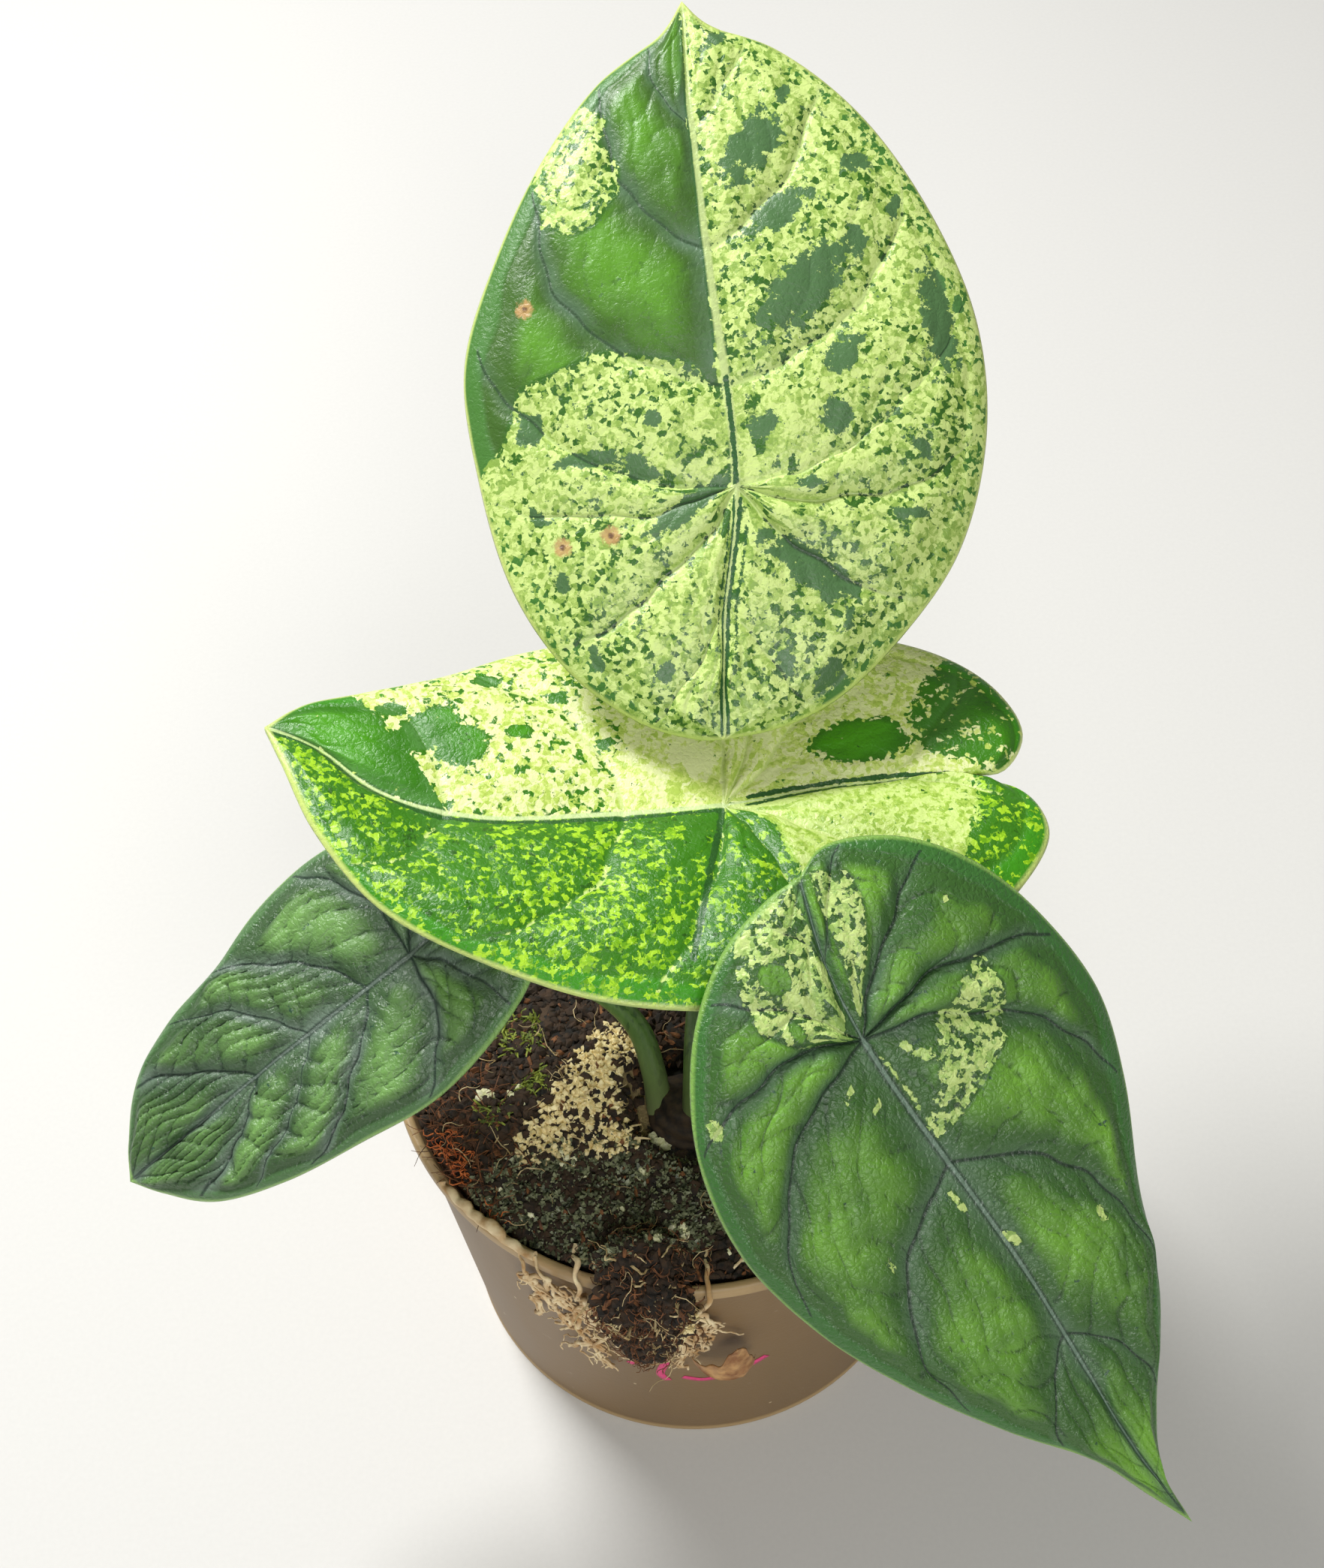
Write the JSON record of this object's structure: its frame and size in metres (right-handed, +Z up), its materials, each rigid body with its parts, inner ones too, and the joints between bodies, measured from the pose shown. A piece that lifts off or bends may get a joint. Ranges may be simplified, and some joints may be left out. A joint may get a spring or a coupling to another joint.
{
  "type": "potted alocasia",
  "caption": "Variegated aroid house plant: peltate quilted leaves on arching stems from a corm in coarse mix, in a tapered taupe nursery pot with a rolled lip.",
  "frame": {"origin": "centre of the pot's base, on the surface it stands on", "axes": "+Z up along the pot's axis, -Y towards the front, where the mix and roots spill over the lip, +X to the viewer's right"},
  "size_m": [0.193, 0.2259, 0.2452],
  "materials": {
    "pot_plastic": "satin taupe polypropylene",
    "potting_mix": "damp bark, coir and grit",
    "corm_skin": "rough dark skin",
    "petiole_skin": "smooth satin green",
    "blade_pale": "satin, mint ground with green specks",
    "blade_bright": "satin, bright green mottled with lime and cream",
    "blade_dark": "satin dark green, grey sheen",
    "blade_green": "satin green with mint sectors",
    "root_skin": "dry matte",
    "dry_sheath": "dry papery"
  },
  "bodies": {
    "root": {"pot": "pot_plastic", "potting_mix": "potting_mix", "corm": "corm_skin", "petiole_back": "petiole_skin", "petiole_middle": "petiole_skin", "petiole_left": "petiole_skin", "petiole_right": "petiole_skin", "leaf_back": "blade_pale", "leaf_middle": "blade_bright", "leaf_left": "blade_dark", "leaf_right": "blade_green", "roots_rim_left": "root_skin", "roots_front_left": "root_skin", "roots_front": "root_skin", "dry_scrap": "dry_sheath"}
  },
  "joints": []
}
